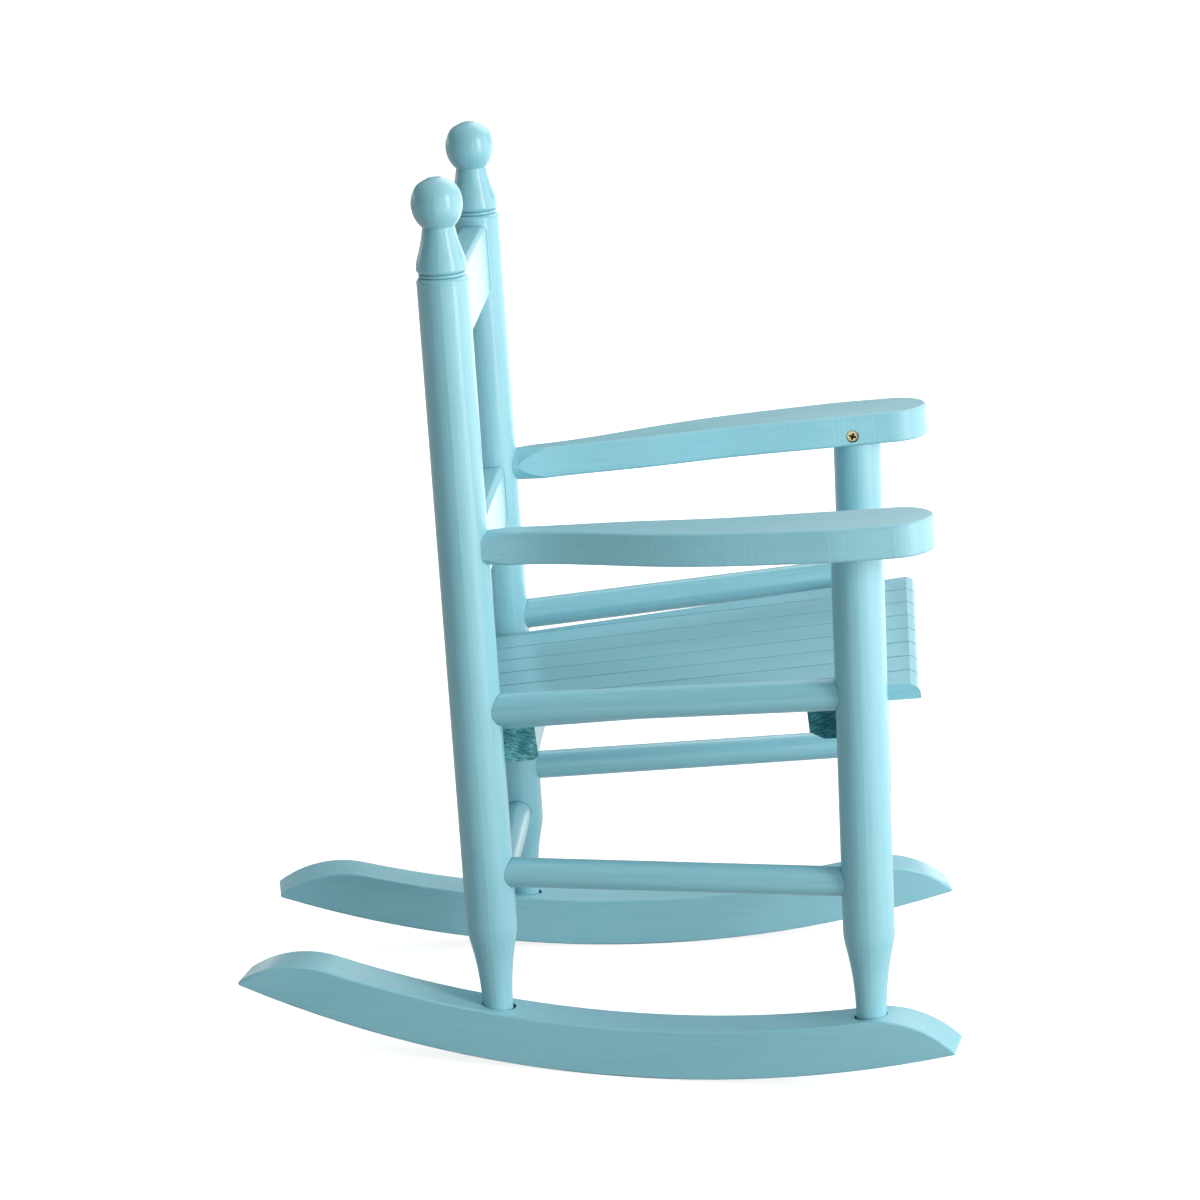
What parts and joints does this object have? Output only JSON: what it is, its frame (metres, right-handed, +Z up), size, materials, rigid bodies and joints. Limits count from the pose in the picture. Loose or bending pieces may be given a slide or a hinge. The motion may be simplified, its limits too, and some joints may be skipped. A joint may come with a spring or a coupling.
{
  "type": "child's rocking chair",
  "caption": "Small painted wooden rocking chair for a child: turned posts with ball finials, two back rails, slatted seat, paddle arms and sawn rockers.",
  "frame": {"origin": "on the floor plane at the centre of the chair's footprint; the rockers touch the floor along a line about 17 mm in front of it", "axes": "+Z up, -Y is the way the sitter faces, +X is the sitter's left"},
  "size_m": [0.3784, 0.4661, 0.5723],
  "materials": {
    "painted_wood": "light turquoise-blue satin paint on turned and sawn hardwood",
    "brass": "plain brass, cross recess",
    "zinc_steel": "zinc-plated steel, out of sight"
  },
  "bodies": {
    "root": {"rocker_left": "painted_wood", "rocker_right": "painted_wood", "rear_post_left": "painted_wood", "rear_post_right": "painted_wood", "front_post_left": "painted_wood", "front_post_right": "painted_wood", "side_stretcher_left": "painted_wood", "side_stretcher_right": "painted_wood", "seat_side_rung_left": "painted_wood", "seat_side_rung_right": "painted_wood", "arm_left": "painted_wood", "arm_right": "painted_wood", "rear_stretcher": "painted_wood", "front_stretcher": "painted_wood", "rear_seat_rung": "painted_wood", "front_seat_rung": "painted_wood", "top_back_rail": "painted_wood", "lower_back_rail": "painted_wood", "rear_seat_batten": "painted_wood", "front_seat_batten": "painted_wood", "seat_slat_1": "painted_wood", "seat_slat_2": "painted_wood", "seat_slat_3": "painted_wood", "seat_slat_4": "painted_wood", "seat_slat_5": "painted_wood", "seat_slat_6": "painted_wood", "seat_slat_7": "painted_wood", "seat_slat_8": "painted_wood", "arm_screws": "brass", "seat_screws": "zinc_steel", "slat_screws": "zinc_steel", "rocker_screws": "zinc_steel"}
  },
  "joints": []
}
